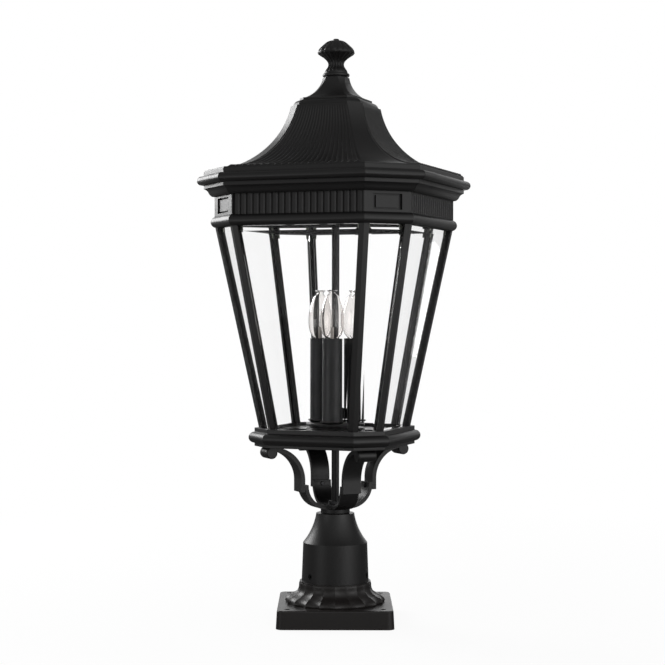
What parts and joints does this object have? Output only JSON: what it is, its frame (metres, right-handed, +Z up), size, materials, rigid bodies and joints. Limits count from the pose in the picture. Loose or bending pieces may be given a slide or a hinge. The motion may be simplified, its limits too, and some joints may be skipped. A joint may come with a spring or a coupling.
{
  "type": "outdoor pedestal light",
  "caption": "Black eight-sided tapering lantern with bevelled panes and candle lamps, on scroll arms and a post fitter that swivels on a fluted square pier base; roof and bulbs lift out.",
  "frame": {"origin": "centre of the pier base's underside", "axes": "+Z up the stem, -Y towards the front as pictured, X and Y along the sides of the square base; the lantern stands turned 21.3 degrees clockwise seen from above"},
  "size_m": [0.3562, 0.3562, 0.7542],
  "materials": {
    "powder_coated_aluminium": "satin black powder coat on cast aluminium",
    "painted_steel": "satin black paint on steel",
    "blackened_steel": "blackened steel fasteners",
    "sleeve_enamel": "satin charcoal enamel",
    "clip_steel": "plain steel tabs",
    "holder_plastic": "matte black",
    "nickel_cap": "nickel-plated cap",
    "bulb_clear_glass": "clear blown glass",
    "filament_wire": "support wire on a glass mount",
    "bevelled_glass": "clear with bevelled edges"
  },
  "bodies": {
    "base": {"pier_base": "powder_coated_aluminium", "post_stub": "powder_coated_aluminium"},
    "head": {"post_fitter": "powder_coated_aluminium", "neck_collar": "powder_coated_aluminium", "arm_cradle": "powder_coated_aluminium", "lap_screws": "blackened_steel", "scroll_arm_1": "powder_coated_aluminium", "scroll_arm_2": "powder_coated_aluminium", "scroll_arm_3": "powder_coated_aluminium", "scroll_arm_4": "powder_coated_aluminium", "arm_studs": "blackened_steel", "hub_locknut": "blackened_steel", "stem_foot_nut": "blackened_steel", "central_stem": "painted_steel", "bottom_frame": "powder_coated_aluminium", "floor_plate": "painted_steel", "cluster_canopy": "painted_steel", "hub_cover": "painted_steel", "candle_cups": "painted_steel", "candle_sleeve_1": "sleeve_enamel", "candle_sleeve_2": "sleeve_enamel", "candle_sleeve_3": "sleeve_enamel", "lamp_holders": "holder_plastic", "glazing_bar_1": "powder_coated_aluminium", "glazing_bar_2": "powder_coated_aluminium", "glazing_bar_3": "powder_coated_aluminium", "glazing_bar_4": "powder_coated_aluminium", "glazing_bar_5": "powder_coated_aluminium", "glazing_bar_6": "powder_coated_aluminium", "glazing_bar_7": "powder_coated_aluminium", "glazing_bar_8": "powder_coated_aluminium", "broad_pane_1": "bevelled_glass", "broad_pane_2": "bevelled_glass", "broad_pane_3": "bevelled_glass", "broad_pane_4": "bevelled_glass", "corner_pane_1": "bevelled_glass", "corner_pane_2": "bevelled_glass", "corner_pane_3": "bevelled_glass", "corner_pane_4": "bevelled_glass", "pane_clips": "clip_steel", "top_frame": "powder_coated_aluminium"},
    "set_screw_1": {"set_screw_1": "blackened_steel"},
    "set_screw_2": {"set_screw_2": "blackened_steel"},
    "set_screw_3": {"set_screw_3": "blackened_steel"},
    "bulb_1": {"bulb_cap_1": "nickel_cap", "bulb_glass_1": "bulb_clear_glass", "bulb_filament_1": "filament_wire"},
    "bulb_2": {"bulb_cap_2": "nickel_cap", "bulb_glass_2": "bulb_clear_glass", "bulb_filament_2": "filament_wire"},
    "bulb_3": {"bulb_cap_3": "nickel_cap", "bulb_glass_3": "bulb_clear_glass", "bulb_filament_3": "filament_wire"},
    "roof": {"cornice": "powder_coated_aluminium", "roof_shell": "powder_coated_aluminium", "roof_cap": "powder_coated_aluminium"},
    "finial_seat": {"finial_washer": "blackened_steel"},
    "finial": {"finial": "powder_coated_aluminium"}
  },
  "joints": [
    {"name": "head_turn", "type": "hinge", "parent": "base", "child": "head", "pos_m": [0, 0, 0.1], "axis": [0, 0, 1], "continuous": true},
    {"name": "set_screw_1_out", "type": "slide", "parent": "head", "child": "set_screw_1", "axis": [-0.7466, -0.6652, 0], "range_m": [0, 0.004]},
    {"name": "set_screw_2_out", "type": "slide", "parent": "head", "child": "set_screw_2", "axis": [0.9494, -0.314, 0], "range_m": [0, 0.004]},
    {"name": "set_screw_3_out", "type": "slide", "parent": "head", "child": "set_screw_3", "axis": [-0.2028, 0.9792, 0], "range_m": [0, 0.004]},
    {"name": "bulb_1_draw", "type": "slide", "parent": "head", "child": "bulb_1", "axis": [0, 0, 1], "range_m": [0, 0.045]},
    {"name": "bulb_2_draw", "type": "slide", "parent": "head", "child": "bulb_2", "axis": [0, 0, 1], "range_m": [0, 0.045]},
    {"name": "bulb_3_draw", "type": "slide", "parent": "head", "child": "bulb_3", "axis": [0, 0, 1], "range_m": [0, 0.045]},
    {"name": "roof_lift", "type": "slide", "parent": "head", "child": "roof", "axis": [0, 0, 1], "range_m": [0, 0.18]},
    {"name": "finial_lift", "type": "slide", "parent": "roof", "child": "finial_seat", "axis": [0, 0, 1], "range_m": [0, 0.01]},
    {"name": "finial_turn", "type": "hinge", "parent": "finial_seat", "child": "finial", "pos_m": [0, 0, 0.72], "axis": [0, 0, 1], "range_deg": [0, 3602]}
  ],
  "couplings": [
    {"joint": "finial_turn", "follows": "finial_lift", "rad_per_m": 6283.2}
  ]
}
